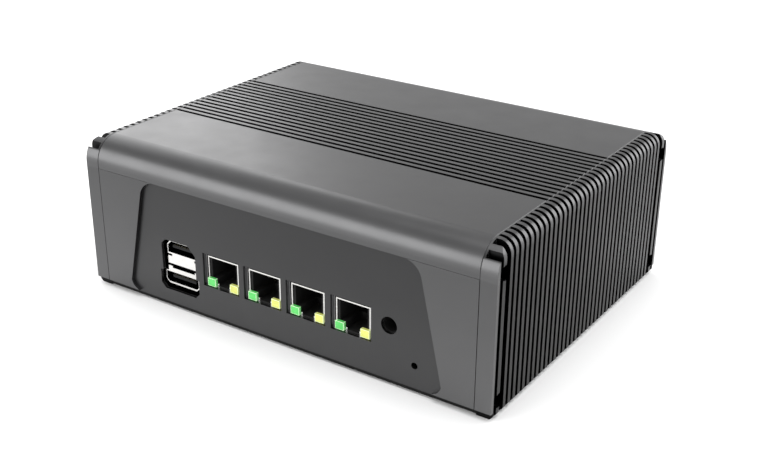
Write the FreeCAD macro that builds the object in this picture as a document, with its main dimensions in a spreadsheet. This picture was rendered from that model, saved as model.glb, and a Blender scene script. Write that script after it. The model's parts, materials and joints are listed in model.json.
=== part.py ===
import FreeCAD, Part
import math
import os
import re
import Sketcher

# A fanless firewall appliance: a flat aluminium case whose top and sides are
# heatsinks, with an inverted mainboard hung under the top heatsink.
# Frame: origin at the bottom centre, +X to the right seen from the front,
# +Y towards the rear, +Z up. Millimetres.

SIZES = {
    # case
    "half_x": 92.0,          # half of the width over the side fins
    "half_y": 70.4,          # half of the depth
    "core_x": 85.7,          # half of the width between the side heatsinks
    "foot_gap": 1.0,         # height of the feet, underside of the bottom cover
    "side_low": 0.5,         # lower edge of the side heatsinks
    "toe_cut": 1.2,
    "trim_low": 3.2,         # lower edge of the front wings and of the raised front strips
    "panel_low": 2.2,        # top of the bottom cover, lower edge of the panels
    "seam_z": 51.8,          # joint between the panels and the top heatsink
    "top_z": 63.6,
    "front_r": 10.0,         # rounding of the front and rear top edges
    "corner_r": 4.8,         # rounding of the side fins over the top
    "seam_chamfer": 0.3,
    "seam_gap": 0.25,
    "top_seam_gap": 0.12,
    # fins
    "fin_pitch": 3.5,
    "groove_w": 1.7,
    "groove_deep": 6.0,      # regular grooves; the end grooves and screw pockets are shallower
    "end_groove_deep": 5.6,
    "side_grooves": 35,
    "top_grooves": 15,
    "top_groove_deep": 3.8,
    "end_groove_at": 1.7,    # narrow groove behind the front strip
    "end_groove_w": 1.9,
    "wide_groove_at": 5.6,
    "wide_groove_w": 2.8,
    # top heatsink
    "block_y": 58.0,         # inner edge of the thick front and rear blocks
    "base_low": 53.6,        # underside of the finned base
    "pedestal_x": 8.0,
    "pedestal_y": 4.0,
    "pedestal_half": 20.0,
    "tapping_deep": 6.0,
    # side heatsinks
    "backing": 3.0,
    "backing_y": 56.0,
    "backing_low": 5.0,
    "backing_high": 51.0,
    "screw_in": 5.05,        # side screw axis behind the front or rear face
    "screw_low": 6.6,
    "screw_high": 54.0,
    "screw_pocket_r": 2.8,
    "screw_r": 1.5,
    "screw_free_r": 1.6,
    "screw_head_r": 2.5,
    "screw_head_tall": 1.8,
    "screw_reach": 8.0,
    "socket_deep": 1.0,
    "socket_half": 0.9,
    # panels
    "recess": 1.4,
    "wing_foot_x": 68.6,     # inner edges of the two front wings, from foot to top
    "wing_foot_z": 7.0,
    "wing_low_x": 72.5,
    "wing_high_x": 63.9,
    "wing_shoulder_z": 45.5,
    "wing_top_x": 57.4,
    "wing_foot_r": 5.0,
    "wing_top_r": 7.5,
    "panel_thick": 1.6,
    "flange_y": 58.5,
    "flange_z": 47.8,
    "block_x": 75.0,
    "block_z": 11.0,
    "flange_screw_near": 20.0,
    "flange_screw_far": 60.0,
    "flange_screw_y": 62.0,
    "flange_screw_reach": 10.0,
    # network sockets
    "lan_x": -25.85,
    "lan_pitch": 20.0,
    "lan_cut_half": 8.8,
    "lan_ledge_half": 7.75,  # narrower opening at the back of the front panel
    "lan_ledge_at": 1.25,
    "lan_cut_low": 14.7,
    "lan_cut_high": 28.4,
    "shield_half": 7.45,
    "shield_low": 13.7,
    "shield_high": 27.1,
    "shield_thick": 0.5,
    "shield_long": 16.0,
    "cavity_half": 5.95,
    "cavity_low": 18.2,
    "cavity_high": 26.3,
    "cavity_deep": 12.5,
    "latch_half": 3.3,
    "latch_low": 15.5,
    "latch_deep": 10.0,
    "tab_near": 2.6,         # metal tabs beside the latch way
    "tab_far": 3.6,
    "tab_high": 16.3,
    "lamp_half": 1.6,
    "lamp_x": 5.3,
    "lamp_low": 15.0,
    "lamp_high": 18.1,
    "lamp_long": 9.0,
    "lens_x": 5.5,
    "lens_half": 1.9,
    "lens_low": 14.9,
    "lens_proud": 0.8,
    "contact_pitch": 1.02,
    "contact_w": 0.45,
    "contact_t": 0.3,
    "contact_long": 8.5,
    "contact_slope": 16.0,   # degrees
    # stacked video socket, and its window in the front panel
    "video_x": -47.2,
    "video_half": 8.9,
    "video_neck": 7.1,
    "video_low": 9.7,
    "video_step": 15.2,
    "video_high": 28.4,
    "video_cut": 1.8,
    "video_shoulder": 3.3,
    "video_long": 19.0,
    "port_deep": 8.0,
    "upper_shift": 0.8,
    "upper_half": 7.5,
    "upper_low": 23.2,
    "upper_high": 28.0,
    "upper_cut": 1.6,
    "upper_shoulder": 3.0,
    "lower_half": 8.2,
    "lower_low": 10.4,
    "lower_high": 14.8,
    "lower_cut": 1.0,
    "slot_low": 17.4,
    "slot_high": 18.5,
    "slot_dip_low": 16.6,    # the slot is wider in its middle
    "slot_dip_near": 5.0,
    "slot_dip_far": 6.5,
    "slot_deep": 3.0,
    "notch_low": 21.7,
    "notch_high": 22.6,
    "notch_in": 2.3,
    "tongue_t": 1.1,
    "tongue_half": 6.0,
    "pin_pitch": 1.1,
    "pin_half": 0.3,
    "pin_t": 0.12,
    "window_foot": 9.9,
    "window_half": 8.6,
    "window_low": 7.7,
    "window_step": 15.6,
    "window_high": 29.1,
    "window_cut": 2.1,
    "window_shoulder": 3.6,
    # power inlet
    "jack_x": 50.3,
    "jack_z": 23.6,
    "jack_cut_r": 3.3,
    "jack_bore_r": 3.0,
    "jack_half": 4.6,
    "jack_long": 14.0,
    "jack_deep": 9.5,
    "jack_pin_in": 4.0,      # tip of the centre pin behind the face
    "pin_r": 1.05,
    # reset switch
    "reset_x": 60.9,
    "reset_z": 11.1,
    "reset_hole_r": 1.3,
    "plunger_r": 0.9,
    "post_dx": 5.6,
    "post_r": 2.2,
    "button_board_y": -60.0,
    "button_board_t": 1.6,
    "button_board_half": 8.0,
    "button_board_down": 4.0,
    "button_board_up": 6.0,
    "pilot_r": 0.9,          # small screws of the button board
    "pilot_reach": 3.5,
    "pilot_head_r": 1.7,
    "pilot_head_tall": 1.2,
    "switch_half": 2.4,
    "switch_deep": 3.0,
    "switch_wall": 0.6,
    "plunger_out": 5.5,
    "reset_gap": 0.5,
    # power button
    "power_x": -58.0,
    "power_z": 21.5,
    "power_hole_r": 6.1,
    "power_barrel_r": 6.0,
    "power_flange_r": 7.6,
    "power_flange_t": 1.2,
    "power_bore_r": 4.6,
    "power_cap_r": 4.5,
    "power_long": 17.0,
    "power_bore_deep": 8.0,
    "power_cap_gap": 0.5,    # left under the cap at the end of its travel
    "power_cap_proud": 0.2,
    "power_nut_r": 8.5,
    "power_nut_t": 2.4,
    "power_travel": 1.5,
    # rear sockets
    "usb_x": -22.0,
    "usb_half": 7.1,
    "usb_low": 12.2,
    "usb_high": 28.0,
    "usb_inset": 0.6,        # shell inside its outer flange
    "usb_rim": 0.3,
    "usb_proud": 1.9,
    "usb_open_half": 6.25,
    "usb_open_tall": 5.1,
    "usb_first": 13.6,
    "usb_second": 21.4,
    "usb_long": 17.5,
    "usb_open_deep": 10.0,
    "usb_tongue_half": 5.6,
    "usb_tongue_low": 2.9,
    "usb_tongue_high": 4.7,
    "usb_tongue_in": 0.6,
    "console_x": 16.0,
    "plug_x": 45.0,
    "plug_z": 39.0,
    "plug_hole_r": 3.25,
    "plug_cap_wide": 1.2,
    "plug_cap_t": 1.0,
    "plug_grip": 2.0,
    # mainboard
    "board_low": 28.9,
    "board_high": 30.5,
    "board_x": 79.0,
    "board_y": 64.0,
    "hole_x": 72.0,
    "hole_y": 50.0,
    "relief_in": 4.5,        # corner reliefs outside the mounting holes
    "relief_deep": 6.0,
    "spacer_r": 3.1,
    "stud_long": 5.0,
    "tapped_deep": 6.0,
    "board_screw_reach": 6.5,
    "carrier_half_x": 14.0,
    "carrier_half_y": 12.0,
    "carrier_t": 1.1,
    "die_half_x": 7.0,
    "die_half_y": 5.0,
    "chip_high": 32.3,
    "paste_high": 32.8,
    "spreader_high": 35.8,
    "spreader_half": 18.0,
    "phy_y": -38.0,          # network chips
    "phy_half": 4.0,
    "phy_t": 1.0,
    "coil_x": -54.5,
    "coil_y": -12.5,
    "coil_pitch": 9.0,
    "coil_half": 3.5,
    "coil_tall": 4.0,
    # memory card under the board
    "memory_x": -25.0,
    "memory_y": 30.0,
    "memory_half": 35.0,
    "memory_deep": 6.0,
    "memory_tall": 5.2,
    "card_half": 33.8,
    "card_front": 4.0,
    "card_rear": 34.0,
    "card_play": 0.2,
    "card_drop": 4.4,
    "card_t": 1.2,
    "chip_pitch": 16.0,
    "chip_y": 17.0,
    "chip_half_x": 6.0,
    "chip_half_y": 5.0,
    "chip_t": 1.0,
    # storage stick under the board
    "drive_front": 20.0,
    "drive_end": 72.0,
    "drive_y": -15.0,
    "drive_half": 11.0,
    "drive_drop": 3.0,
    "drive_t": 0.8,
    "drive_chip_x": 33.0,
    "drive_chip_half": 8.0,
    "drive_chip_t": 1.2,
    "drive_socket_in": 2.0,
    "drive_socket_out": 4.0,
    "drive_play": 0.5,
    "drive_notch_r": 1.6,
    "drive_head_r": 2.6,
    # clock battery
    "battery_x": 55.0,
    "battery_y": 22.0,
    "battery_r": 10.0,
    "battery_low": 4.6,      # faces of the cell below the board
    "battery_high": 1.4,
    "holder_r": 12.0,
    "holder_tall": 5.0,
    # bottom cover
    "cover_y": 68.9,
    "vesa_half": 37.5,
    "vesa_r": 2.0,
    "collar_r": 3.4,
    "collar_tall": 2.0,
    "cover_screw_x": 79.5,
    "cover_screw_y": 61.6,
    "cover_screw_head": 1.2,
    "cover_socket_deep": 0.9,
    "cover_screw_reach": 5.0,
    "cover_tapping": 6.0,
    "foot_x": 71.0,
    "foot_y": 53.0,
    "foot_r": 7.0,
    "foot_low_r": 6.2,
}

document = FreeCAD.newDocument("FirewallAppliance")
sheet = document.addObject("Spreadsheet::Sheet", "sizes")
for row, (alias, amount) in enumerate(SIZES.items(), start=1):
    sheet.set(f"A{row}", alias)
    sheet.set(f"B{row}", str(amount))
    sheet.setAlias(f"B{row}", alias)
document.recompute()

subparts = []


# ---------------------------------------------------------------- helpers
def number(text):
    """Value of a sum of products of sheet aliases and plain numbers."""
    total = 0.0
    for sign, term in re.findall(r"([+-]?)([^+-]+)", text.replace(" ", "")):
        product = -1.0 if sign == "-" else 1.0
        for operator, factor in re.findall(r"([*/]?)([^*/]+)", term):
            amount = float(sheet.get(factor)) if factor in SIZES else float(factor)
            product = product / amount if operator == "/" else product * amount
        total += product
    return total


def bound(text):
    """The same sum as an expression on the sheet."""
    return re.sub(r"[A-Za-z_]\w*", lambda found: "sizes." + found.group(0), text)


def keep(feature, label):
    """Register a finished sub-part under its own label."""
    feature.Label = label
    subparts.append(feature)
    return feature


def box(x_low, x_high, y_low, y_high, z_low, z_high):
    block = document.addObject("Part::Box", "Block")
    spans = (("Length", "x", x_low, x_high), ("Width", "y", y_low, y_high), ("Height", "z", z_low, z_high))
    for size, axis, low, high in spans:
        block.setExpression(size, f"({bound(high)}) - ({bound(low)})")
        block.setExpression(f"Placement.Base.{axis}", bound(low))
    return block


def aim(feature, axis, along, first, second):
    """Turn a Z-built primitive to an axis and place its start."""
    turns = {"x": FreeCAD.Rotation(0, 90, 0), "y": FreeCAD.Rotation(0, 0, -90), "z": FreeCAD.Rotation()}
    places = {"x": (along, first, second), "y": (first, along, second), "z": (first, second, along)}
    feature.Placement = FreeCAD.Placement(FreeCAD.Vector(), turns[axis])
    for letter, place in zip("xyz", places[axis]):
        feature.setExpression(f"Placement.Base.{letter}", bound(place))
    return feature


def rod(axis, first, second, low, high, radius):
    """Cylinder along an axis; first and second are its other two coordinates."""
    cylinder = document.addObject("Part::Cylinder", "Rod")
    cylinder.setExpression("Radius", bound(radius))
    cylinder.setExpression("Height", f"({bound(high)}) - ({bound(low)})")
    return aim(cylinder, axis, low, first, second)


def taper(axis, first, second, low, high, low_radius, high_radius):
    cone = document.addObject("Part::Cone", "Taper")
    cone.setExpression("Radius1", bound(low_radius))
    cone.setExpression("Radius2", bound(high_radius))
    cone.setExpression("Height", f"({bound(high)}) - ({bound(low)})")
    return aim(cone, axis, low, first, second)


def prism(axis, first, second, low, high, radius):
    """Hexagonal bar along an axis, radius to its corners."""
    bar = document.addObject("Part::Prism", "Prism")
    bar.Polygon = 6
    bar.setExpression("Circumradius", bound(radius))
    bar.setExpression("Height", f"({bound(high)}) - ({bound(low)})")
    return aim(bar, axis, low, first, second)


def fuse(pieces):
    whole = document.addObject("Part::MultiFuse", "Fusion")
    whole.Shapes = pieces
    whole.Refine = True
    return whole


def group(pieces):
    together = document.addObject("Part::Compound", "Group")
    together.Links = pieces
    return together


def cut(base, tools):
    result = document.addObject("Part::Cut", "Cut")
    result.Base = base
    result.Tool = tools[0] if len(tools) == 1 else group(tools)
    return result


def plane_of(body, role):
    return next(item for item in body.Origin.OriginFeatures if item.Role == role)


def new_sketch(body, plane, offset):
    sketch = body.newObject("Sketcher::SketchObject", "Sketch")
    sketch.AttachmentSupport = [(plane_of(body, plane), "")]
    sketch.MapMode = "FlatFace"
    sketch.setExpression("AttachmentOffset.Base.z", bound(offset))
    return sketch


def pin_down(sketch, kind, name, text, *where):
    """Add one dimension to a sketch and bind it to the sheet."""
    index = sketch.addConstraint(Sketcher.Constraint(kind, *where, number(text)))
    sketch.renameConstraint(index, name)
    sketch.setExpression(f"Constraints.{name}", bound(text))


def arc_between(start, end, radius):
    """Arc with its centre to the left of start to end, or right if radius < 0."""
    chord = end - start
    middle = (start + end) * 0.5
    left = FreeCAD.Vector(-chord.y, chord.x, 0).normalize()
    rise = math.sqrt(radius * radius - chord.Length ** 2 / 4)
    centre = middle + left * math.copysign(rise, radius)
    angles = [math.atan2(point.y - centre.y, point.x - centre.x) for point in (start, end)]
    if radius < 0:
        angles.reverse()
    circle = Part.Circle(centre, FreeCAD.Vector(0, 0, 1), abs(radius))
    return Part.ArcOfCircle(circle, angles[0], angles[1])


def outline(body, plane, offset, corners):
    """Closed sketch, counter-clockwise; a corner's third item makes the next edge an arc."""
    sketch = new_sketch(body, plane, offset)
    points = [FreeCAD.Vector(number(corner[0]), number(corner[1]), 0) for corner in corners]
    ends = []
    for index, corner in enumerate(corners):
        start = points[index]
        end = points[(index + 1) % len(points)]
        if len(corner) == 3:
            radius = number(corner[2])
            sketch.addGeometry(arc_between(start, end, radius))
            ends.append((1, 2) if radius > 0 else (2, 1))
        else:
            sketch.addGeometry(Part.LineSegment(start, end))
            ends.append((1, 2))
    for index, corner in enumerate(corners):
        following = (index + 1) % len(points)
        meet = Sketcher.Constraint("Coincident", index, ends[index][1], following, ends[following][0])
        sketch.addConstraint(meet)
        pin_down(sketch, "DistanceX", f"across{index}", corner[0], -1, 1, index, ends[index][0])
        pin_down(sketch, "DistanceY", f"up{index}", corner[1], -1, 1, index, ends[index][0])
        if len(corner) == 3:
            pin_down(sketch, "Radius", f"round{index}", corner[2].lstrip("-"), index)
    return sketch


def rectangles(body, plane, offset, items):
    """Sketch of separate rectangles, each (low, high, low, high)."""
    sketch = new_sketch(body, plane, offset)
    for item, (u_low, u_high, v_low, v_high) in enumerate(items):
        first = 4 * item
        corners = [(u_low, v_low), (u_high, v_low), (u_high, v_high), (u_low, v_high)]
        points = [FreeCAD.Vector(number(u), number(v), 0) for u, v in corners]
        for side in range(4):
            sketch.addGeometry(Part.LineSegment(points[side], points[(side + 1) % 4]))
        for side in range(4):
            meet = Sketcher.Constraint("Coincident", first + side, 2, first + (side + 1) % 4, 1)
            sketch.addConstraint(meet)
            kind = "Horizontal" if side % 2 == 0 else "Vertical"
            sketch.addConstraint(Sketcher.Constraint(kind, first + side))
        pin_down(sketch, "DistanceX", f"left{item}", u_low, -1, 1, first, 1)
        pin_down(sketch, "DistanceY", f"low{item}", v_low, -1, 1, first, 1)
        pin_down(sketch, "DistanceX", f"right{item}", u_high, -1, 1, first + 1, 2)
        pin_down(sketch, "DistanceY", f"high{item}", v_high, -1, 1, first + 1, 2)
    return sketch


def circles(body, plane, offset, items):
    """Sketch of separate circles, each (u, v, radius)."""
    sketch = new_sketch(body, plane, offset)
    for index, (u, v, radius) in enumerate(items):
        centre = FreeCAD.Vector(number(u), number(v), 0)
        sketch.addGeometry(Part.Circle(centre, FreeCAD.Vector(0, 0, 1), number(radius)))
        pin_down(sketch, "DistanceX", f"across{index}", u, -1, 1, index, 3)
        pin_down(sketch, "DistanceY", f"up{index}", v, -1, 1, index, 3)
        pin_down(sketch, "Radius", f"radius{index}", radius, index)
    return sketch


def new_body():
    return document.addObject("PartDesign::Body", "Body")


def pad(body, sketch, length, both_ways=False, side=1):
    """Add material along the sketch's normal, against it (side < 0) or both ways."""
    feature = body.newObject("PartDesign::Pad", "Pad")
    feature.Profile = (sketch, [""])
    feature.Midplane = both_ways
    feature.Reversed = side < 0
    feature.setExpression("Length", bound(length))
    document.recompute()
    return feature


def pocket(body, sketch, length=None, side=1):
    """Cut along the sketch's normal, against it (side < 0), or right through both ways."""
    before = body.Shape.Volume
    feature = body.newObject("PartDesign::Pocket", "Pocket")
    feature.Profile = (sketch, [""])
    if length is None:
        feature.Type = "ThroughAll"
        feature.Midplane = True
    else:
        feature.Reversed = side > 0
        feature.setExpression("Length", bound(length))
    document.recompute()
    if before - body.Shape.Volume < 0.01:
        raise RuntimeError(f"a pocket in {body.Name} cuts nothing")
    return feature


def repeat_along_y(body, feature, pitch, count):
    pattern = body.newObject("PartDesign::LinearPattern", "Row")
    pattern.Originals = [feature]
    pattern.Direction = (plane_of(body, "Y_Axis"), [""])
    pattern.setExpression("Occurrences", bound(count))
    pattern.setExpression("Length", f"{bound(pitch)} * ({bound(count)} - 1)")
    body.Tip = pattern
    document.recompute()


def mirrored(text, side):
    """A coordinate as it is on the positive side, or negated on the other."""
    if side > 0:
        return text
    swap = {"+": "-", "-": "+"}
    turned = "".join(swap.get(letter, letter) for letter in text)
    return turned[1:] if turned.startswith("+") else "-" + turned


def around(u, v, half_u, half_v):
    """Low and high on both axes about a centre."""
    return (f"{u}-{half_u}", f"{u}+{half_u}", f"{v}-{half_v}", f"{v}+{half_v}")


def corners(x, y):
    """The four points (+-x, +-y)."""
    return [(across, along) for across in ("-" + x, x) for along in ("-" + y, y)]


def flange_spots():
    return corners("flange_screw_far", "flange_screw_y") + corners("flange_screw_near", "flange_screw_y")


def lan_centres():
    return [f"lan_x+{port}*lan_pitch" for port in range(4)]


def span(side, near, far):
    """Ordered low and high ends of a stretch that runs outward on one side."""
    ends = (mirrored(near, side), mirrored(far, side))
    return ends if side > 0 else ends[::-1]


# ---------------------------------------------------------------- case
def make_top_heatsink():
    body = new_body()
    profile = [
        ("-half_y", "seam_z"), ("-block_y", "seam_z"), ("-block_y", "base_low"),
        ("block_y", "base_low"), ("block_y", "seam_z"), ("half_y", "seam_z"),
        ("half_y", "top_z-front_r", "front_r"), ("half_y-front_r", "top_z"),
        ("-half_y+front_r", "top_z", "front_r"), ("-half_y", "top_z-front_r"),
    ]
    pad(body, outline(body, "YZ_Plane", "0", profile), "2*core_x", both_ways=True)
    chamfer_ends(body)
    pedestal = around("pedestal_x", "pedestal_y", "pedestal_half", "pedestal_half")
    pad(body, rectangles(body, "XY_Plane", "spreader_high", [pedestal]), "base_low-spreader_high")
    for height, spots in (("base_low", corners("hole_x", "hole_y")), ("seam_z", flange_spots())):
        holes = [(x, y, "screw_r") for x, y in spots]
        pocket(body, circles(body, "XY_Plane", height, holes), "tapping_deep")
    ends = [(y, "screw_high", "screw_r") for y in ("-half_y+screw_in", "half_y-screw_in")]
    for side in (1, -1):
        pocket(body, circles(body, "YZ_Plane", mirrored("core_x", side), ends), "screw_reach", -side)
    first = "-7*fin_pitch"
    groove = (first + "-groove_w/2", first + "+groove_w/2", "top_z-top_groove_deep", "top_z+1")
    cutter = pocket(body, rectangles(body, "YZ_Plane", "0", [groove]))
    repeat_along_y(body, cutter, "fin_pitch", "top_grooves")
    keep(body, "top_heatsink")


def chamfer_ends(body):
    """Break the outer edges at both ends, so that the joint reads as a fine line."""
    pad_feature = body.Tip
    names = []
    for index, edge in enumerate(pad_feature.Shape.Edges, start=1):
        middle = edge.CenterOfMass
        at_end = abs(abs(middle.x) - number("core_x")) < 0.01 and edge.BoundBox.XLength < 0.01
        outside = middle.z > number("top_z-front_r") - 2.0 and not inner_edge(middle)
        if at_end and outside:
            names.append(f"Edge{index}")
    chamfer = body.newObject("PartDesign::Chamfer", "Chamfer")
    chamfer.Base = (pad_feature, names)
    chamfer.setExpression("Size", bound("seam_chamfer"))
    document.recompute()


def inner_edge(middle):
    return abs(middle.y) < number("half_y-front_r") and middle.z < number("top_z") - 1.0


def make_side_heatsink(label, side):
    body = new_body()
    profile = [
        ("-half_y+recess", "side_low"), ("half_y-recess", "side_low"), ("half_y-recess", "trim_low"),
        ("half_y", "trim_low"), ("half_y", "top_z-front_r", "front_r"),
        ("half_y-front_r", "top_z"), ("-half_y+front_r", "top_z", "front_r"),
        ("-half_y", "top_z-front_r"), ("-half_y", "trim_low"), ("-half_y+recess", "trim_low"),
    ]
    face = mirrored("core_x", side)
    pad(body, outline(body, "YZ_Plane", face, profile), "half_x-core_x", side=side)
    backing = ("-backing_y", "backing_y", "backing_low", "backing_high")
    pad(body, rectangles(body, "YZ_Plane", face, [backing]), "backing", side=-side)
    arc_start = (mirrored("half_x-corner_r", side), "top_z", "-corner_r" if side > 0 else "corner_r")
    waste = [
        arc_start, (mirrored("half_x", side), "top_z-corner_r"),
        (mirrored("half_x+1", side), "top_z-corner_r"), (mirrored("half_x+1", side), "top_z+1"),
        (mirrored("half_x-corner_r", side), "top_z+1"),
    ]
    pocket(body, outline(body, "XZ_Plane", "0", waste))
    toe = [
        (mirrored("half_x-toe_cut", side), "side_low-1"), (mirrored("half_x+1", side), "side_low-1"),
        (mirrored("half_x+1", side), "side_low+toe_cut"), (mirrored("half_x", side), "side_low+toe_cut"),
        (mirrored("half_x-toe_cut", side), "side_low"),
    ]
    pocket(body, outline(body, "XZ_Plane", "0", toe))
    floor, outside = mirrored("half_x-end_groove_deep", side), mirrored("half_x+1", side)
    ends = []
    for at, wide in (("end_groove_at", "end_groove_w"), ("wide_groove_at", "wide_groove_w")):
        for end in (1, -1):
            ends.append((floor, outside, mirrored(f"half_y-{at}", end), mirrored(f"half_y-{at}-{wide}", end)))
    pocket(body, rectangles(body, "XY_Plane", "0", ends))
    spots = [
        (mirrored("half_y-screw_in", end), height)
        for end in (1, -1)
        for height in ("screw_low", "screw_high")
    ]
    pockets = [(y, z, "screw_pocket_r") for y, z in spots]
    pocket(body, circles(body, "YZ_Plane", floor, pockets), "end_groove_deep+1", side)
    holes = [(y, z, "screw_free_r") for y, z in spots]
    pocket(body, circles(body, "YZ_Plane", floor, holes), "backing", -side)
    first = "-17*fin_pitch"
    groove = (mirrored("half_x-groove_deep", side), outside, first + "-groove_w/2", first + "+groove_w/2")
    cutter = pocket(body, rectangles(body, "XY_Plane", "0", [groove]))
    repeat_along_y(body, cutter, "fin_pitch", "side_grooves")
    keep(body, label)


def button_screw(axis, first, second, side, seat, reach):
    """Button-head screw whose head sits outward of its seat on the given side of the axis."""
    end = f"{seat}+screw_head_tall"
    shank = rod(axis, first, second, *span(side, f"{seat}-{reach}", seat), "screw_r")
    top = rod(axis, first, second, *span(side, seat, end), "screw_head_r")
    socket = prism(axis, first, second, *span(side, f"{end}-socket_deep", end), "socket_half")
    return cut(fuse([shank, top]), [socket])


def make_side_screws():
    screws = [
        button_screw(
            "x", mirrored("half_y-screw_in", end), height, side, "half_x-end_groove_deep", "screw_reach"
        )
        for side in (1, -1)
        for end in (1, -1)
        for height in ("screw_low", "screw_high")
    ]
    keep(group(screws), "side_screws")


def panel_blocks(side, face):
    """Flange along the top of a panel and the two screw blocks at its lower ends."""
    blocks = [box("-core_x", "core_x", *span(side, "flange_y", face), "flange_z", "seam_z")]
    for end in (1, -1):
        across = span(end, "block_x", "core_x")
        blocks.append(box(*across, *span(side, "flange_y", face), "panel_low", "block_z"))
    return blocks


def panel_screw_holes(side):
    row = mirrored("flange_screw_y", side)
    holes = [rod("z", x, y, "flange_z", "seam_z", "screw_free_r") for x, y in flange_spots() if y == row]
    for end in (1, -1):
        reach = span(end, "core_x-screw_reach", "core_x")
        holes.append(rod("x", mirrored("half_y-screw_in", side), "screw_low", *reach, "screw_r"))
        corner = (mirrored("cover_screw_x", end), mirrored("cover_screw_y", side))
        holes.append(rod("z", *corner, "panel_low", "panel_low+cover_tapping", "screw_r"))
    return holes


def make_front_panel():
    face, back = "half_y-recess", "half_y-recess-panel_thick"
    body = new_body()
    plate = [("-core_x", "core_x", "panel_low", "seam_z")]
    pad(body, rectangles(body, "XZ_Plane", face, plate), "panel_thick", side=-1)
    sockets = [
        (f"{centre}-lan_cut_half", f"{centre}+lan_cut_half", "lan_cut_low", "lan_cut_high")
        for centre in lan_centres()
    ]
    pocket(body, rectangles(body, "XZ_Plane", face, sockets), "lan_ledge_at", side=-1)
    ledges = [
        (f"{centre}-lan_ledge_half", f"{centre}+lan_ledge_half", "lan_cut_low", "lan_cut_high")
        for centre in lan_centres()
    ]
    pocket(body, rectangles(body, "XZ_Plane", "0", ledges))
    rounds = [("jack_x", "jack_z", "jack_cut_r"), ("reset_x", "reset_z", "reset_hole_r")]
    pocket(body, circles(body, "XZ_Plane", "0", rounds))
    pocket(body, outline(body, "XZ_Plane", "0", video_window()))
    posts = [
        rod("y", f"reset_x{sign}post_dx", "reset_z", mirrored(back, -1), "button_board_y", "post_r")
        for sign in "-+"
    ]
    whole = fuse([body] + panel_blocks(-1, back) + posts)
    pilots = [
        rod("y", f"reset_x{sign}post_dx", "reset_z", "button_board_y-4", "button_board_y", "pilot_r")
        for sign in "-+"
    ]
    keep(cut(whole, panel_screw_holes(-1) + pilots), "front_panel")


def video_window():
    """Outline of the stacked socket's window: a wider foot and four cut corners."""
    return [
        ("video_x-window_foot+window_cut", "window_low"), ("video_x+window_foot-window_cut", "window_low"),
        ("video_x+window_foot", "window_low+window_cut"), ("video_x+window_foot", "window_step"),
        ("video_x+window_half", "window_step"), ("video_x+window_half", "window_high-window_shoulder"),
        ("video_x+window_half-window_shoulder", "window_high"),
        ("video_x-window_half+window_cut", "window_high"), ("video_x-window_half", "window_high-window_cut"),
        ("video_x-window_half", "window_step"), ("video_x-window_foot", "window_step"),
        ("video_x-window_foot", "window_low+window_cut"),
    ]


def make_wings():
    """Raised light trims at both ends of the front, which leave the sloping recess between them."""
    outer, top = "core_x-seam_gap", "seam_z-top_seam_gap"
    for label, side, turn in (("front_wing_left", -1, "-"), ("front_wing_right", 1, "")):
        profile = [
            (mirrored(outer, side), "trim_low"),
            (mirrored("wing_foot_x", side), "trim_low", turn + "wing_foot_r"),
            (mirrored("wing_low_x", side), "wing_foot_z"),
            (mirrored("wing_high_x", side), "wing_shoulder_z", turn + "wing_top_r"),
            (mirrored("wing_top_x", side), top), (mirrored(outer, side), top),
        ]
        body = new_body()
        pad(body, outline(body, "XZ_Plane", "half_y", profile), "recess", side=-1)
        keep(body, label)


def make_rear_panel():
    back = "half_y-recess-panel_thick"
    body = new_body()
    plate = [("-core_x", "core_x", "panel_low", "seam_z")]
    pad(body, rectangles(body, "XZ_Plane", "-half_y+recess", plate), "panel_thick", side=1)
    openings = [
        ("usb_x-usb_half+usb_rim", "usb_x+usb_half-usb_rim", "usb_low+usb_rim", "usb_high-usb_rim"),
        ("console_x-lan_ledge_half", "console_x+lan_ledge_half", "lan_cut_low", "lan_cut_high"),
    ]
    pocket(body, rectangles(body, "XZ_Plane", "0", openings))
    rounds = [("power_x", "power_z", "power_hole_r")]
    rounds += [(x, "plug_z", "plug_hole_r") for x in ("-plug_x", "plug_x")]
    pocket(body, circles(body, "XZ_Plane", "0", rounds))
    keep(cut(fuse([body] + panel_blocks(1, back)), panel_screw_holes(1)), "rear_panel")


def make_bottom_cover():
    body = new_body()
    plate = [("-core_x", "core_x", "-cover_y", "cover_y")]
    pad(body, rectangles(body, "XY_Plane", "foot_gap", plate), "panel_low-foot_gap")
    mounting = corners("vesa_half", "vesa_half")
    collars = [(x, y, "collar_r") for x, y in mounting]
    pad(body, circles(body, "XY_Plane", "panel_low", collars), "collar_tall")
    screws = corners("cover_screw_x", "cover_screw_y")
    holes = [(x, y, "vesa_r") for x, y in mounting] + [(x, y, "screw_r") for x, y in screws]
    pocket(body, circles(body, "XY_Plane", "0", holes))
    keep(cut(body, [sunk_head(x, y) for x, y in screws]), "bottom_cover")


def sunk_head(x, y):
    """Countersunk head, flush with the underside of the cover."""
    depth = ("foot_gap", "foot_gap+cover_screw_head")
    return taper("z", x, y, *depth, "screw_r+cover_screw_head", "screw_r")


def make_cover_screws():
    screws = []
    for x, y in corners("cover_screw_x", "cover_screw_y"):
        shank = rod("z", x, y, "foot_gap+cover_screw_head", "panel_low+cover_screw_reach", "screw_r")
        socket = prism("z", x, y, "foot_gap", "foot_gap+cover_socket_deep", "socket_half")
        screws.append(cut(fuse([sunk_head(x, y), shank]), [socket]))
    keep(group(screws), "bottom_cover_screws")


def make_flange_screws():
    screws = [button_screw("z", x, y, -1, "-flange_z", "flange_screw_reach") for x, y in flange_spots()]
    keep(group(screws), "panel_screws")


def make_feet():
    for row, y in (("front", "-foot_y"), ("rear", "foot_y")):
        for place, x in (("left", "-foot_x"), ("right", "foot_x")):
            keep(taper("z", x, y, "0", "foot_gap", "foot_low_r", "foot_r"), f"foot_{row}_{place}")


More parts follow.
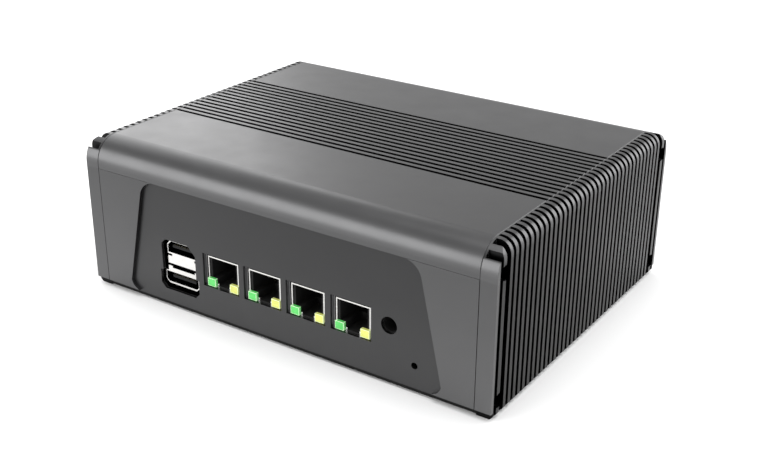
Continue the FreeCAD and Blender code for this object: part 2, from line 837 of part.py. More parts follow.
# ---------------------------------------------------------------- sockets
def make_lan_socket(label, centre, side, face):
    """Shield can and moulded insert of one eight-way socket."""
    outer = (f"{centre}-shield_half", f"{centre}+shield_half")
    inner = (f"{centre}-shield_half+shield_thick", f"{centre}+shield_half-shield_thick")
    floor, roof = "shield_low+shield_thick", "shield_high-shield_thick"
    can = box(*outer, *span(side, f"{face}-shield_long", face), "shield_low", "shield_high")
    hollow = box(*inner, *span(side, f"{face}-shield_long+shield_thick", face), floor, roof)
    mouth = span(side, f"{face}-shield_thick", face)
    tabs = [
        box(f"{centre}-tab_far", f"{centre}-tab_near", *mouth, "shield_low", "tab_high"),
        box(f"{centre}+tab_near", f"{centre}+tab_far", *mouth, "shield_low", "tab_high"),
    ]
    keep(fuse([cut(can, [hollow])] + tabs), f"{label}_shield")
    depth = span(side, f"{face}-shield_long+shield_thick", f"{face}-shield_thick")
    block = box(*inner, *depth, floor, roof)
    lip = box(f"{centre}-tab_near", f"{centre}+tab_near", *mouth, floor, "latch_low")
    plug_way = box(
        f"{centre}-cavity_half", f"{centre}+cavity_half",
        *span(side, f"{face}-cavity_deep", face), "cavity_low", "cavity_high",
    )
    latch_way = box(
        f"{centre}-latch_half", f"{centre}+latch_half",
        *span(side, f"{face}-latch_deep", face), "latch_low", "cavity_low",
    )
    lamps = [lamp(centre, sign, side, face, f"{face}-shield_thick") for sign in "-+"]
    keep(cut(fuse([block, lip]), [plug_way, latch_way] + lamps), f"{label}_insert")


def lamp(centre, sign, side, face, front):
    """Bar of clear plastic in a lower corner of a socket's face."""
    return box(
        f"{centre}{sign}lamp_x-lamp_half", f"{centre}{sign}lamp_x+lamp_half",
        *span(side, f"{face}-lamp_long", front), "lamp_low", "lamp_high",
    )


def light_pipe(centre, sign, side, face):
    """Lamp bar with a wider lens that stands proud of the socket's face."""
    lens = box(
        f"{centre}{sign}lens_x-lens_half", f"{centre}{sign}lens_x+lens_half",
        *span(side, face, f"{face}+lens_proud"), "lens_low", "lamp_high",
    )
    return fuse([lamp(centre, sign, side, face, face), lens])


def socket_contacts(centre, side, face):
    """Eight sprung wires that slope down from the roof of the plug way."""
    wires = []
    for wire in range(8):
        strip = document.addObject("Part::Box", "Wire")
        strip.setExpression("Length", bound("contact_w"))
        strip.setExpression("Width", bound("contact_long"))
        strip.setExpression("Height", bound("contact_t"))
        yaw = 180 if side > 0 else 0
        strip.Placement.Rotation = FreeCAD.Rotation(yaw, 0, -number("contact_slope"))
        edge = f"{wire}*contact_pitch-3.5*contact_pitch" + ("+contact_w/2" if side > 0 else "-contact_w/2")
        strip.setExpression("Placement.Base.x", bound(f"{centre}+{edge}"))
        strip.setExpression("Placement.Base.y", bound(mirrored(f"{face}-1.5", side)))
        strip.setExpression("Placement.Base.z", bound("cavity_high-contact_t"))
        wires.append(strip)
    return wires


def make_network_ports():
    face = "half_y-recess-panel_thick"
    for port, centre in enumerate(lan_centres(), start=1):
        make_lan_socket(f"lan_{port}", centre, -1, face)
    for sign, label in (("-", "green_light_pipes"), ("+", "yellow_light_pipes")):
        keep(group([light_pipe(centre, sign, -1, face) for centre in lan_centres()]), label)


def make_console_port():
    face = "half_y-recess-panel_thick"
    make_lan_socket("console", "console_x", 1, face)
    keep(group([light_pipe("console_x", sign, 1, face) for sign in "-+"]), "console_light_pipes")


def make_socket_contacts():
    face = "half_y-recess-panel_thick"
    wires = socket_contacts("console_x", 1, face)
    for centre in lan_centres():
        wires += socket_contacts(centre, -1, face)
    keep(group(wires), "socket_contacts")


def make_video_socket():
    """Two stacked plug openings in one shell, with a joint line and two notches on its face."""
    front = "half_y-recess-panel_thick"
    shell = new_body()
    shape = [
        ("video_x-video_neck", "video_low"), ("video_x+video_neck", "video_low"),
        ("video_x+video_half", "video_low+video_cut"), ("video_x+video_half", "video_high-video_shoulder"),
        ("video_x+video_half-video_shoulder", "video_high"), ("video_x-video_neck+video_cut", "video_high"),
        ("video_x-video_neck", "video_high-video_cut"), ("video_x-video_neck", "video_step"),
        ("video_x-video_half", "video_step"), ("video_x-video_half", "video_low+video_cut"),
    ]
    pad(shell, outline(shell, "XZ_Plane", front, shape), "video_long", side=-1)
    upper, lower = "video_x+upper_shift", "video_x"
    upper_port = [
        (f"{upper}-upper_half", "upper_low"), (f"{upper}+upper_half", "upper_low"),
        (f"{upper}+upper_half", "upper_high-upper_shoulder"),
        (f"{upper}+upper_half-upper_shoulder", "upper_high"),
        (f"{upper}-upper_half+upper_cut", "upper_high"), (f"{upper}-upper_half", "upper_high-upper_cut"),
    ]
    lower_port = [
        (f"{lower}-lower_half+lower_cut", "lower_low"), (f"{lower}+lower_half-lower_cut", "lower_low"),
        (f"{lower}+lower_half", "lower_low+lower_cut"), (f"{lower}+lower_half", "lower_high"),
        (f"{lower}-lower_half", "lower_high"), (f"{lower}-lower_half", "lower_low+lower_cut"),
    ]
    for port in (upper_port, lower_port):
        pocket(shell, outline(shell, "XZ_Plane", front, port), "port_deep", side=-1)
    slots = [
        ("video_x-video_neck-1", "video_x+video_half+1", "slot_low", "slot_high"),
        ("video_x-video_neck-1", "video_x-video_neck+notch_in", "notch_low", "notch_high"),
        ("video_x+video_half-notch_in", "video_x+video_half+1", "notch_low", "notch_high"),
    ]
    dip = [("video_x-slot_dip_near", "video_x+slot_dip_far", "slot_dip_low", "slot_low")]
    for cuts in (slots, dip):
        pocket(shell, rectangles(shell, "XZ_Plane", front, cuts), "slot_deep", side=-1)
    keep(shell, "video_socket_shell")
    face = mirrored(front, -1)
    tongues, pins = [], []
    for centre, low, high in ((upper, "upper_low", "upper_high"), (lower, "lower_low", "lower_high")):
        bottom, top = f"{low}/2+{high}/2-tongue_t/2", f"{low}/2+{high}/2+tongue_t/2"
        across = (f"{centre}-tongue_half", f"{centre}+tongue_half")
        tongues.append(box(*across, f"{face}+1", f"{face}+port_deep", bottom, top))
        for pin in range(10):
            place = f"{centre}+{pin}*pin_pitch-4.5*pin_pitch"
            strip = (f"{place}-pin_half", f"{place}+pin_half", f"{face}+1.4", f"{face}+port_deep")
            pins.append(box(*strip, top, f"{top}+pin_t"))
    keep(group(tongues), "video_tongues")
    keep(group(pins), "video_contacts")


def make_power_inlet():
    face = "-half_y+recess+panel_thick"
    block = box(
        "jack_x-jack_half", "jack_x+jack_half", face, f"{face}+jack_long",
        "jack_z-jack_half", "board_low",
    )
    bore = rod("y", "jack_x", "jack_z", face, f"{face}+jack_deep", "jack_bore_r")
    slot = box(
        "jack_x+jack_bore_r-0.6", "jack_x+jack_bore_r+0.4", f"{face}+2", f"{face}+jack_deep",
        "jack_z-0.8", "jack_z+0.8",
    )
    keep(cut(block, [bore, slot]), "dc_jack_body")
    tip = f"{face}+jack_pin_in"
    stem = rod("y", "jack_x", "jack_z", f"{tip}+0.6", f"{face}+jack_deep", "pin_r")
    nose = taper("y", "jack_x", "jack_z", tip, f"{tip}+0.6", "pin_r-0.4", "pin_r")
    keep(fuse([stem, nose]), "dc_centre_pin")
    spring = (f"{face}+2", f"{face}+jack_deep", "jack_z-0.8", "jack_z+0.8")
    keep(box("jack_x+jack_bore_r-0.1", "jack_x+jack_bore_r+0.2", *spring), "dc_side_spring")


def make_reset_switch():
    front, rear = "button_board_y", "button_board_y+button_board_t"
    across = ("reset_x-button_board_half", "reset_x+button_board_half")
    board = box(*across, front, rear, "reset_z-button_board_down", "reset_z+button_board_up")
    posts = [(f"reset_x{sign}post_dx", "reset_z") for sign in "-+"]
    keep(cut(board, [rod("y", *post, front, rear, "pilot_r") for post in posts]), "button_board")
    screws = []
    for post in posts:
        shank = rod("y", *post, f"{front}-pilot_reach", rear, "pilot_r")
        head = rod("y", *post, rear, f"{rear}+pilot_head_tall", "pilot_head_r")
        screws.append(fuse([shank, head]))
    keep(group(screws), "button_board_screws")
    u_low, u_high, v_low, v_high = around("reset_x", "reset_z", "switch_half", "switch_half")
    body = box(u_low, u_high, f"{front}-switch_deep", front, v_low, v_high)
    place = ("reset_x", "reset_z")
    well = rod("y", *place, f"{front}-switch_deep", f"{front}-switch_wall", "plunger_r+0.1")
    keep(cut(body, [well]), "reset_switch_body")
    ends = (f"{front}-plunger_out", f"{front}-switch_wall-reset_gap")
    keep(rod("y", *place, *ends, "plunger_r"), "reset_plunger")


def make_power_button():
    outer = "half_y-recess"
    place = ("power_x", "power_z")
    barrel = rod("y", *place, f"{outer}-power_long", outer, "power_barrel_r")
    flange = rod("y", *place, outer, f"{outer}+power_flange_t", "power_flange_r")
    floor = f"{outer}-power_bore_deep"
    bore = rod("y", *place, floor, f"{outer}+power_flange_t", "power_bore_r")
    keep(cut(fuse([barrel, flange]), [bore]), "power_button_housing")
    cap = (f"{floor}+power_travel+power_cap_gap", f"{outer}+power_flange_t+power_cap_proud")
    keep(rod("y", *place, *cap, "power_cap_r"), "power_button_cap")
    depth = (f"{outer}-panel_thick-power_nut_t", f"{outer}-panel_thick")
    nut = prism("y", *place, *depth, "power_nut_r")
    hole = rod("y", *place, *depth, "power_barrel_r")
    keep(cut(nut, [hole]), "power_button_nut")


def make_usb_socket():
    face = "half_y-recess-panel_thick+usb_proud"
    can = box(
        "usb_x-usb_half+usb_inset", "usb_x+usb_half-usb_inset", f"{face}-usb_long", face,
        "usb_low+usb_inset", "usb_high-usb_inset",
    )
    floor = f"{face}-usb_open_deep"
    ways, tongues = [], []
    for low in ("usb_first", "usb_second"):
        across = ("usb_x-usb_open_half", "usb_x+usb_open_half")
        ways.append(box(*across, floor, face, low, f"{low}+usb_open_tall"))
        tongues.append(box(
            "usb_x-usb_tongue_half", "usb_x+usb_tongue_half", floor, f"{face}-usb_tongue_in",
            f"{low}+usb_tongue_low", f"{low}+usb_tongue_high",
        ))
    keep(cut(can, ways), "usb_socket_shell")
    keep(group(tongues), "usb_tongues")


def make_antenna_plugs():
    plugs = []
    for x in ("-plug_x", "plug_x"):
        stem = rod("y", x, "plug_z", "half_y-recess-panel_thick-plug_grip", "half_y-recess", "plug_hole_r")
        cap = rod("y", x, "plug_z", "half_y-recess", "half_y-recess+plug_cap_t", "plug_hole_r+plug_cap_wide")
        plugs.append(fuse([stem, cap]))
    keep(group(plugs), "antenna_hole_plugs")


# ---------------------------------------------------------------- electronics
def make_mainboard():
    board = box("-board_x", "board_x", "-board_y", "board_y", "board_low", "board_high")
    fixings = corners("hole_x", "hole_y")
    holes = [rod("z", x, y, "board_low", "board_high", "screw_free_r") for x, y in fixings]
    relief = [
        box(
            *span(end, "hole_x+relief_in", "board_x"), *span(side, "board_y-relief_deep", "board_y"),
            "board_low", "board_high",
        )
        for end in (1, -1)
        for side in (1, -1)
    ]
    keep(cut(board, holes + relief), "mainboard")
    spacers = []
    for x, y in fixings:
        hex_bar = prism("z", x, y, "board_high", "base_low", "spacer_r")
        stud = rod("z", x, y, "base_low", "base_low+stud_long", "screw_r")
        tapped = rod("z", x, y, "board_high", "board_high+tapped_deep", "screw_r")
        spacers.append(cut(fuse([hex_bar, stud]), [tapped]))
    keep(group(spacers), "board_spacers")
    screws = [button_screw("z", x, y, -1, "-board_low", "board_screw_reach") for x, y in fixings]
    keep(group(screws), "board_screws")


def make_processor():
    centre = ("pedestal_x", "pedestal_y")
    seat = "board_high+carrier_t"
    carrier = box(*around(*centre, "carrier_half_x", "carrier_half_y"), "board_high", seat)
    die_area = around(*centre, "die_half_x", "die_half_y")
    keep(fuse([carrier, box(*die_area, seat, "chip_high")]), "processor")
    keep(box(*die_area, "chip_high", "paste_high"), "thermal_pad")
    spreader_area = around(*centre, "spreader_half", "spreader_half")
    keep(box(*spreader_area, "paste_high", "spreader_high"), "copper_spreader")


def make_board_chips():
    network = [
        box(*around(centre, "phy_y", "phy_half", "phy_half"), "board_high", "board_high+phy_t")
        for centre in lan_centres()
    ]
    keep(group(network), "network_chips")
    coils = []
    for coil in range(3):
        area = around(f"coil_x+{coil}*coil_pitch", "coil_y", "coil_half", "coil_half")
        coils.append(box(*area, "board_high", "board_high+coil_tall"))
    keep(group(coils), "power_coils")


def make_memory():
    """Memory card lying under the board in its socket."""
    low = "board_low-card_drop"
    thick = (low, low + "+card_t")
    socket = box(
        "memory_x-memory_half", "memory_x+memory_half", "memory_y", "memory_y+memory_deep",
        "board_low-memory_tall", "board_low",
    )
    slot_ends = ("memory_x-card_half-card_play", "memory_x+card_half+card_play")
    slot = box(*slot_ends, "memory_y", "card_rear", *thick)
    keep(cut(socket, [slot]), "memory_socket")
    pieces = [box("memory_x-card_half", "memory_x+card_half", "card_front", "card_rear", *thick)]
    for chip in range(4):
        area = around(f"memory_x-1.5*chip_pitch+{chip}*chip_pitch", "chip_y", "chip_half_x", "chip_half_y")
        pieces.append(box(*area, low + "-chip_t", low))
    keep(fuse(pieces), "memory_module")


def make_drive():
    """Storage stick held by its socket and by a screw in its rounded notch."""
    low, high = "board_low-drive_drop", "board_low-drive_drop+drive_t"
    across = ("drive_y-drive_half", "drive_y+drive_half")
    socket = box(
        "drive_front-drive_socket_in", "drive_front+drive_socket_out",
        "drive_y-drive_half-drive_play", "drive_y+drive_half+drive_play",
        f"{low}-drive_chip_t", "board_low",
    )
    slot = box("drive_front", "drive_front+drive_socket_out", *across, low, high)
    keep(cut(socket, [slot]), "drive_socket")
    pieces = [box("drive_front", "drive_end", *across, low, high)]
    for chip in range(2):
        area = around(f"drive_chip_x+{chip}*chip_pitch", "drive_y", "chip_half_x", "drive_chip_half")
        pieces.append(box(*area, f"{low}-drive_chip_t", low))
    place = ("drive_end", "drive_y")
    keep(cut(fuse(pieces), [rod("z", *place, low, high, "drive_notch_r")]), "drive_module")
    post = rod("z", *place, high, "board_low", "drive_head_r")
    shank = rod("z", *place, low, high, "screw_r")
    head = rod("z", *place, f"{low}-drive_chip_t", low, "drive_head_r")
    keep(fuse([post, shank, head]), "drive_screw")


def make_clock_battery():
    place = ("battery_x", "battery_y")
    holder = rod("z", *place, "board_low-holder_tall", "board_low", "holder_r")
    seat = rod("z", *place, "board_low-holder_tall", "board_low-battery_high", "battery_r+0.1")
    keep(cut(holder, [seat]), "battery_holder")
    keep(rod("z", *place, "board_low-battery_low", "board_low-battery_high", "battery_r"), "coin_battery")


# ---------------------------------------------------------------- build and write
make_top_heatsink()
make_side_heatsink("left_side_heatsink", -1)
make_side_heatsink("right_side_heatsink", 1)
make_side_screws()
make_front_panel()
make_wings()
make_rear_panel()
make_flange_screws()
make_bottom_cover()
make_cover_screws()
make_feet()
make_network_ports()
make_console_port()
make_socket_contacts()
make_video_socket()
make_power_inlet()
make_reset_switch()
make_power_button()
make_usb_socket()
make_antenna_plugs()
make_mainboard()
make_processor()
make_board_chips()
make_memory()
make_drive()
make_clock_battery()
document.recompute()

for item in document.Objects:
    if "Invalid" in item.State or "Error" in item.State:
        raise RuntimeError(f"{item.Name} ({item.Label}) did not rebuild: {item.State}")
for piece in subparts:
    if piece.Shape.isNull() or not piece.Shape.isValid():
        raise RuntimeError(f"{piece.Label} has no valid shape")

os.makedirs("parts", exist_ok=True)
for piece in subparts:
    piece.Shape.exportStep(f"parts/{piece.Label}.step")
print(len(subparts), "sub-parts written")
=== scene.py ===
import json
import math

import bpy
from mathutils import Matrix, Vector

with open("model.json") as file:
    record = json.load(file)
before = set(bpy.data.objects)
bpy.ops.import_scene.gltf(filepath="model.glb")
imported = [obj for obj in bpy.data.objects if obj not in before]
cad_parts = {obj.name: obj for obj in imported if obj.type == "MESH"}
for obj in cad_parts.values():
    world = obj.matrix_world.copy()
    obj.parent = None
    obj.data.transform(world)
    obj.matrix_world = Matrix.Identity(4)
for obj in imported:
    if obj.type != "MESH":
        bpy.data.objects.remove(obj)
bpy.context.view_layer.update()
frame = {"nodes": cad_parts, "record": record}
nodes = frame["nodes"]
scene = bpy.context.scene

MM = 0.001

# Camera: azimuth from the front towards the right, elevation and roll in degrees.
CAMERA_ANGLES = (33.889, 24.484, 0.366)
CAMERA_PLACE = Vector((245.5, -366.1, 218.9)) * MM
CAMERA_LENS = 55.9
CAMERA_CLIP_START = 0.01

FLOOR_HALF = 4.0
FLOOR_COLOR = (0.92, 0.92, 0.92, 1)
FLOOR_ROUGHNESS = 0.9
FLOOR_SPECULAR = 0.1

WORLD_COLOR = (1, 1, 1, 1)
WORLD_STRENGTH = 0.9
SOFTBOXES = (
    # name, azimuth, elevation, distance, width, height, radiance
    ("left_rear_box", -115, 25, 1.35, 1.1, 1.1, 1.95),
    ("front_left_box", -36, 15, 1.3, 1.1, 0.75, 3.6),
    ("overhead_box", 60, 80, 1.5, 1.2, 1.2, 2.6),
    ("right_rear_box", 147, 21, 1.3, 0.7, 0.9, 3.0),
)

# Colours, linear.
GREY = (0.09, 0.09, 0.0915)
# Painted light: a lighter copy of the grey for the right wing and the right heatsink.
RIGHT_GREY_PAINTED_LIGHT = (0.1, 0.1, 0.1015)
DARK_GREY = (0.052, 0.052, 0.0528)
NICKEL = (0.75, 0.74, 0.72)
LENS_EDGE_HIGHLIGHT = (0.8, 0.95, 0.7)

# Node settings that every finish shares.
BEVEL_SAMPLES = 4
NOISE_SPAN = (0.3, 0.7)         # the part of the noise that is stretched over a range
EDGE_SPAN = (0.85, 0.995)       # cosine between the rounded and the true normal
WALL_SPAN = (0.6, 0.9)          # how squarely a wall between two fins faces front or rear

# Painted reflection on anodised surfaces: their colour changes with height, standing in for
# how they mirror the floor and then the room.
FOOT_SPAN = (0.003, 0.034)
HEAD_SPAN = (0.034, 0.050)
SEAM_SPAN = (0.0514, 0.0520)
HEAD_SHARE = 0.88

# Painted shade on the fins, grooves and edges of the heatsinks, and painted light on the front
# plate's ledge and painted shadow in the socket shell, in metres from the middle.
FIN_ROW_END = 0.0687            # half of the depth between the front and rear strips
TOP_ROW_END = 0.030             # half of the depth that the top grooves take up
ROW_BLEND = 0.0004
FIN_STRENGTHS = (0.85, 0.7)     # how much painted shade darkens the side fins, front and rear
FIN_STRENGTH_SPAN = (-0.05, 0.03)
FIN_FADE = (0.0572, 0.0602)     # heights between which the painted shade on the side fins fades out
# Brightness that painted shade leaves on the walls between fins, left, right and top.
LEFT_WALL_SHARE = 0.1
RIGHT_WALL_SHARE = 0.15
TOP_WALL_SHARE = 0.15
# Painted shade on the set-back lower edges of the side heatsinks.
RECESS_BLEND = 0.0002
RECESS_FACE = (0.0692, 0.0696)
RECESS_TOP = (0.0030, 0.0034)
RECESS_STRENGTH = 0.9
# Painted light on the sockets' ledge, ended behind it, and painted shadow inside the video
# socket's shell.
LEDGE_FRONT, LEDGE_PAINTED_LIGHT = (-0.0680, -0.0679), 3.0
LEDGE_BACK, LEDGE_DROP = (-0.0676, -0.0675), 0.33
SHELL_RIM, SHELL_PAINTED_SHADOW = (-0.0672, -0.0668), 0.02


# ---------------------------------------------------------------- camera, floor, lights
def from_front(azimuth, elevation):
    """Unit vector away from the case; azimuth from the front, positive to the right."""
    level = math.cos(elevation)
    return Vector((math.sin(azimuth) * level, -math.cos(azimuth) * level, math.sin(elevation)))


def make_camera():
    """Camera in front of the case, to its right and above it."""
    azimuth, elevation, roll = (math.radians(angle) for angle in CAMERA_ANGLES)
    back = from_front(azimuth, elevation)
    level = (-back).cross(Vector((0, 0, 1))).normalized()
    upward = level.cross(-back)
    right = level * math.cos(roll) + upward * math.sin(roll)
    up = upward * math.cos(roll) - level * math.sin(roll)
    data = bpy.data.cameras.new("camera")
    data.lens = CAMERA_LENS
    data.clip_start = CAMERA_CLIP_START
    camera = bpy.data.objects.new("camera", data)
    camera.matrix_world = Matrix((
        (right.x, up.x, back.x, CAMERA_PLACE.x),
        (right.y, up.y, back.y, CAMERA_PLACE.y),
        (right.z, up.z, back.z, CAMERA_PLACE.z),
        (0, 0, 0, 1),
    ))
    scene.collection.objects.link(camera)
    scene.camera = camera


def make_floor():
    mesh = bpy.data.meshes.new("floor")
    signs = [(-1, -1), (1, -1), (1, 1), (-1, 1)]
    corners = [(x * FLOOR_HALF, y * FLOOR_HALF, 0) for x, y in signs]
    mesh.from_pydata(corners, [], [(0, 1, 2, 3)])
    floor = bpy.data.objects.new("floor", mesh)
    scene.collection.objects.link(floor)
    material = bpy.data.materials.new("floor")
    material.use_nodes = True
    shader = material.node_tree.nodes["Principled BSDF"]
    shader.inputs["Base Color"].default_value = FLOOR_COLOR
    shader.inputs["Roughness"].default_value = FLOOR_ROUGHNESS
    shader.inputs["Specular IOR Level"].default_value = FLOOR_SPECULAR
    mesh.materials.append(material)


def soft_light(name, azimuth, elevation, distance, width, height, radiance):
    """Softbox that faces the case, at angles in degrees and a distance in metres."""
    outward = from_front(math.radians(azimuth), math.radians(elevation))
    data = bpy.data.lights.new(name, "AREA")
    data.shape = "RECTANGLE"
    data.size = width
    data.size_y = height
    data.energy = radiance * math.pi * width * height
    light = bpy.data.objects.new(name, data)
    light.location = outward * distance
    light.rotation_euler = (-outward).to_track_quat("-Z", "Y").to_euler()
    scene.collection.objects.link(light)


def make_studio():
    world = bpy.data.worlds.new("studio")
    world.use_nodes = True
    background = world.node_tree.nodes["Background"]
    background.inputs["Color"].default_value = WORLD_COLOR
    background.inputs["Strength"].default_value = WORLD_STRENGTH
    scene.world = world
    for softbox in SOFTBOXES:
        soft_light(*softbox)
    scene.view_settings.view_transform = "Standard"


make_camera()
make_floor()
make_studio()


# ---------------------------------------------------------------- materials
class Finish:
    """A procedural material; its patterns follow the frame's coordinates, in metres."""

    def __init__(self, name, color, metallic, roughness):
        self.material = bpy.data.materials.new(name)
        self.material.use_nodes = True
        self.tree = self.material.node_tree
        self.shader = self.tree.nodes["Principled BSDF"]
        self.shader.inputs["Metallic"].default_value = metallic
        self.shader.inputs["Roughness"].default_value = roughness
        self.shader.inputs["Base Color"].default_value = (*color, 1)
        self.color = color
        self.roughness = roughness
        self.place = self.node("ShaderNodeTexCoord").outputs["Object"]
        self.normal = None

    # Building blocks: each adds a node and returns its output.
    def node(self, kind, **settings):
        made = self.tree.nodes.new(kind)
        for key, value in settings.items():
            setattr(made, key, value)
        return made

    def link(self, source, target):
        self.tree.links.new(source, target)

    def stretched(self, scale):
        mapping = self.node("ShaderNodeMapping")
        mapping.inputs["Scale"].default_value = scale
        self.link(self.place, mapping.inputs["Vector"])
        return mapping.outputs["Vector"]

    def noise(self, scale, detail, stretch):
        texture = self.node("ShaderNodeTexNoise")
        texture.inputs["Scale"].default_value = scale
        texture.inputs["Detail"].default_value = detail
        where = self.stretched(stretch) if stretch else self.place
        self.link(where, texture.inputs["Vector"])
        return texture.outputs["Fac"]

    def ranged(self, value, low, high, span=NOISE_SPAN):
        """Go from low to high as the value crosses the span, and stay level outside it."""
        mapped = self.node("ShaderNodeMapRange")
        mapped.inputs["From Min"].default_value = span[0]
        mapped.inputs["From Max"].default_value = span[1]
        mapped.inputs["To Min"].default_value = low
        mapped.inputs["To Max"].default_value = high
        self.link(value, mapped.inputs["Value"])
        return mapped.outputs["Result"]

    def mixed(self, first, second, factor):
        """Mix two colours; the first may be a socket or four numbers."""
        mix = self.node("ShaderNodeMix", data_type="RGBA")
        if isinstance(first, bpy.types.NodeSocket):
            self.link(first, mix.inputs["A"])
        else:
            mix.inputs["A"].default_value = first
        mix.inputs["B"].default_value = second
        self.link(factor, mix.inputs["Factor"])
        return mix.outputs["Result"]

    def arithmetic(self, operation, *values):
        math_node = self.node("ShaderNodeMath", operation=operation)
        for value, target in zip(values, math_node.inputs):
            if isinstance(value, float):
                target.default_value = value
            else:
                self.link(value, target)
        return math_node.outputs["Value"]

    def product(self, first, *others):
        for other in others:
            first = self.arithmetic("MULTIPLY", first, other)
        return first

    def split(self, vector):
        parts = self.node("ShaderNodeSeparateXYZ")
        self.link(vector, parts.inputs["Vector"])
        return parts.outputs

    def magnitude(self, value):
        return self.arithmetic("ABSOLUTE", value)

    def true_normal(self):
        return self.node("ShaderNodeNewGeometry").outputs["True Normal"]

    def rounded_normal(self, radius):
        bevel = self.node("ShaderNodeBevel", samples=BEVEL_SAMPLES)
        bevel.inputs["Radius"].default_value = radius
        return bevel.outputs["Normal"]

    def edge_mask(self, radius):
        """1 along sharp edges, 0 on open faces."""
        dot = self.node("ShaderNodeVectorMath", operation="DOT_PRODUCT")
        self.link(self.rounded_normal(radius), dot.inputs[0])
        self.link(self.true_normal(), dot.inputs[1])
        return self.ranged(dot.outputs["Value"], 1, 0, EDGE_SPAN)

    # Surface detail: each changes the shader and returns the finish.
    def use_normal(self, normal):
        self.normal = normal
        self.link(normal, self.shader.inputs["Normal"])
        return self

    def mottle(self, scale, amount, detail=4.0, stretch=None):
        """Vary the colour's brightness by a share either way."""
        darker = [channel * (1 - amount) for channel in self.color]
        lighter = [channel * (1 + amount) for channel in self.color]
        patches = self.ranged(self.noise(scale, detail, stretch), 0, 1)
        color = self.mixed((*darker, 1), (*lighter, 1), patches)
        self.link(color, self.shader.inputs["Base Color"])
        return self

    def vary_roughness(self, scale, amount, detail=3.0, stretch=None):
        low, high = self.roughness - amount, self.roughness + amount
        patches = self.ranged(self.noise(scale, detail, stretch), low, high)
        self.link(patches, self.shader.inputs["Roughness"])
        return self

    def grain(self, scale, depth, detail=3.0, stretch=None):
        """Fine bump of the given depth in metres."""
        bump = self.node("ShaderNodeBump")
        bump.inputs["Strength"].default_value = 1.0
        bump.inputs["Distance"].default_value = depth
        self.link(self.noise(scale, detail, stretch), bump.inputs["Height"])
        if self.normal is not None:
            self.link(self.normal, bump.inputs["Normal"])
        return self.use_normal(bump.outputs["Normal"])

    def soften_edges(self, radius):
        """Shade sharp edges as if they were rounded by the given radius in metres."""
        return self.use_normal(self.rounded_normal(radius))

    def dull(self, level):
        self.shader.inputs["Specular IOR Level"].default_value = level
        return self

    def glow(self, color, strength):
        self.shader.inputs["Emission Color"].default_value = (*color, 1)
        self.shader.inputs["Emission Strength"].default_value = strength
        return self

    def paint_edge_highlight(self, radius, color):
        """Painted highlight: lighter colour and glow along the edges."""
        mask = self.edge_mask(radius)
        for socket in ("Base Color", "Emission Color"):
            target = self.shader.inputs[socket]
            start = target.links[0].from_socket if target.is_linked else target.default_value
            self.link(self.mixed(start, (*color, 1), mask), target)
        return self

    # Painted light and shade: each multiplies the colour by a factor that depends on the
    # place.
    def tint(self, factor):
        target = self.shader.inputs["Base Color"]
        scale = self.node("ShaderNodeVectorMath", operation="SCALE")
        self.link(target.links[0].from_socket, scale.inputs[0])
        self.link(factor, scale.inputs["Scale"])
        self.link(scale.outputs["Vector"], target)
        return self

    def darken(self, mask):
        return self.tint(self.arithmetic("SUBTRACT", 1.0, mask))

    def paint_light_shade_along(self, axis, span, share):
        """Painted light and shade: tint by the share beyond a span of one axis, and not at all
        before it.
        """
        return self.tint(self.ranged(self.split(self.place)[axis], 1, share, span))

    def paint_height_reflection(self, share):
        """Painted reflection: lighter towards the floor, and darker just under the seam of the
        top heatsink.
        """
        height = self.split(self.place)["Z"]
        foot = self.ranged(height, share, 1, FOOT_SPAN)
        head = self.ranged(height, 1, HEAD_SHARE, HEAD_SPAN)
        above = self.ranged(height, 1, 1 / HEAD_SHARE, SEAM_SPAN)
        return self.tint(self.product(foot, head, above))

    def paint_fin_shade(self):
        """Painted shade: darken the fins of a side heatsink, less at the rear, fading out at
        its top.
        """
        axes = self.split(self.place)
        row = (FIN_ROW_END, FIN_ROW_END + ROW_BLEND)
        along = self.ranged(self.magnitude(axes["Y"]), 1, 0, row)
        strength = self.ranged(axes["Y"], *FIN_STRENGTHS, FIN_STRENGTH_SPAN)
        height = self.ranged(axes["Z"], 1, 0, FIN_FADE)
        return self.darken(self.product(along, strength, height))

    def paint_groove_wall_shade(self, share, row_end):
        """Painted shade: darken the walls between fins, which face front or rear, up to the
        row's end.
        """
        facing = self.magnitude(self.split(self.true_normal())["Y"])
        depth = self.magnitude(self.split(self.place)["Y"])
        along = self.ranged(depth, 1 - share, 0, (row_end, row_end + ROW_BLEND))
        return self.darken(self.product(self.ranged(facing, 0, 1, WALL_SPAN), along))

    def paint_recess_shade(self):
        """Painted shade: darken the set-back lower edges at the front and rear of a side
        heatsink.
        """
        axes = self.split(self.place)
        depth = self.magnitude(axes["Y"])
        past_fins = (FIN_ROW_END, FIN_ROW_END + RECESS_BLEND)
        outside = self.ranged(depth, 0, RECESS_STRENGTH, past_fins)
        set_back = self.ranged(depth, 1, 0, RECESS_FACE)
        low = self.ranged(axes["Z"], 1, 0, RECESS_TOP)
        return self.darken(self.product(outside, set_back, low))


# Anodised aluminium, with painted reflection by height.
def anodised(name, color, roughness=0.33, reflection_share=1.32):
    finish = Finish(name, color, 1.0, roughness).soften_edges(0.00018)
    finish.mottle(scale=60, amount=0.015).vary_roughness(scale=90, amount=0.03)
    return finish.grain(scale=3500, depth=0.000012).paint_height_reflection(reflection_share)


def dark_anodised(name):
    return anodised(name, DARK_GREY, roughness=0.38, reflection_share=1.45)


# A side heatsink with painted shade on its fins, groove walls and set-back lower edges.
def side_fins(name, color, wall_share):
    finish = anodised(name, color).paint_fin_shade()
    return finish.paint_groove_wall_shade(wall_share, FIN_ROW_END).paint_recess_shade()


def moulded(name, color, roughness):
    finish = Finish(name, color, 0.0, roughness).mottle(scale=300, amount=0.15)
    return finish.vary_roughness(scale=500, amount=0.06).grain(scale=2500, depth=0.00002)


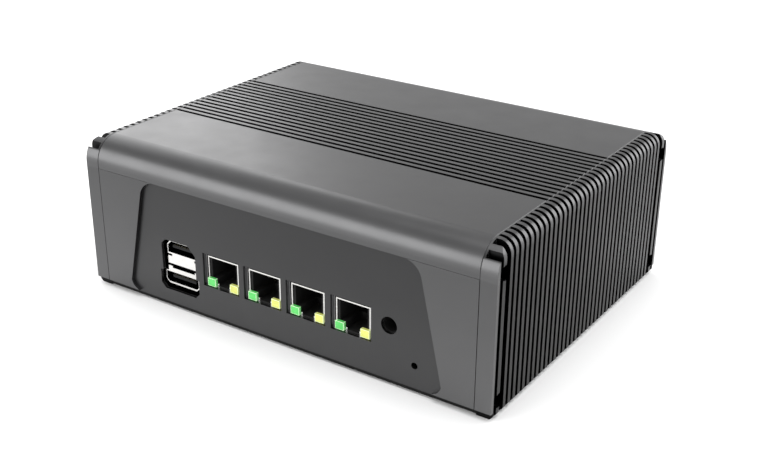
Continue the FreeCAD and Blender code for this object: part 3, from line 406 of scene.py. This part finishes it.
def plated(name, color, roughness):
    finish = Finish(name, color, 1.0, roughness).mottle(scale=400, amount=0.06)
    finish.vary_roughness(scale=700, amount=0.08)
    return finish.grain(scale=1500, depth=0.00001, stretch=(1, 0.1, 1))


# An indicator lens that glows as its lamp, with a painted highlight along its edges.
def lens(name, color, light):
    finish = moulded(name, color, roughness=0.3).glow(light, strength=0.3)
    return finish.paint_edge_highlight(radius=0.0005, color=LENS_EDGE_HIGHLIGHT)


# The finish of each of the record's material slots.
finishes = {
    "grey_anodised": anodised("grey_anodised", GREY),
    "dark_anodised": dark_anodised("dark_anodised"),
    "green_lens": lens("green_lens", color=(0.07, 0.42, 0.09), light=(0.1, 0.62, 0.12)),
    "yellow_lens": lens("yellow_lens", color=(0.5, 0.52, 0.12), light=(0.62, 0.66, 0.18)),
}
for kind, slot, color, roughness in (
    (moulded, "black_coated_steel", (0.009, 0.009, 0.009), 0.6),
    (moulded, "black_rubber", (0.015, 0.015, 0.015), 0.8),
    (moulded, "black_plastic", (0.01, 0.01, 0.01), 0.6),
    (moulded, "circuit_board", (0.01, 0.07, 0.03), 0.35),
    (moulded, "silicon_carrier", (0.05, 0.09, 0.05), 0.3),
    (moulded, "thermal_paste", (0.4, 0.4, 0.42), 0.7),
    (plated, "zinc_steel", (0.6, 0.6, 0.58), 0.3),
    (plated, "nickel_steel", NICKEL, 0.2),
    (plated, "gold_contacts", (0.78, 0.68, 0.45), 0.25),
    (plated, "copper", (0.72, 0.4, 0.25), 0.3),
    (plated, "brass_spacer", (0.75, 0.6, 0.3), 0.3),
):
    finishes[slot] = kind(slot, color, roughness)
finishes["black_coated_steel"].dull(0.06)
finishes["black_plastic"].dull(0.2)

# Painted light on the sockets' ledge in the front plate, and painted shadow inside the video
# socket's shell behind its rim.
front_plate_painted_light = dark_anodised("front_plate_painted_light")
front_plate_painted_light.paint_light_shade_along("Y", LEDGE_FRONT, LEDGE_PAINTED_LIGHT).paint_light_shade_along("Y", LEDGE_BACK, LEDGE_DROP)
socket_shell = plated("socket_shell", NICKEL, 0.2).paint_light_shade_along("Y", SHELL_RIM, SHELL_PAINTED_SHADOW)
# Top heatsink with painted shade on the walls between its fins.
top_fins_painted_shade = anodised("top_fins_painted_shade", GREY).paint_groove_wall_shade(TOP_WALL_SHARE, TOP_ROW_END)
brushed_steel = plated("brushed_steel", (0.42, 0.42, 0.43), 0.36)

# Nodes that look different from their slot's other nodes, most through painted light and
# shade.
special = {
    "front_panel": front_plate_painted_light,
    # The right wing is lighter by painted light.
    "front_wing_right": anodised("right_wing_painted_light", RIGHT_GREY_PAINTED_LIGHT),
    "left_side_heatsink": side_fins("left_fins_painted_shade", GREY, LEFT_WALL_SHARE),
    "right_side_heatsink": side_fins("right_fins_painted_light_shade", RIGHT_GREY_PAINTED_LIGHT, RIGHT_WALL_SHARE),
    "top_heatsink": top_fins_painted_shade,
    "video_socket_shell": socket_shell,
    "power_button_housing": brushed_steel,
    "power_button_cap": brushed_steel,
}


def paint_nodes():
    for entry in frame["record"]["subparts"]:
        piece = nodes[entry["node"]]
        piece.data.materials.clear()
        finish = special.get(entry["node"], finishes[entry["material_slot"]])
        piece.data.materials.append(finish.material)


paint_nodes()
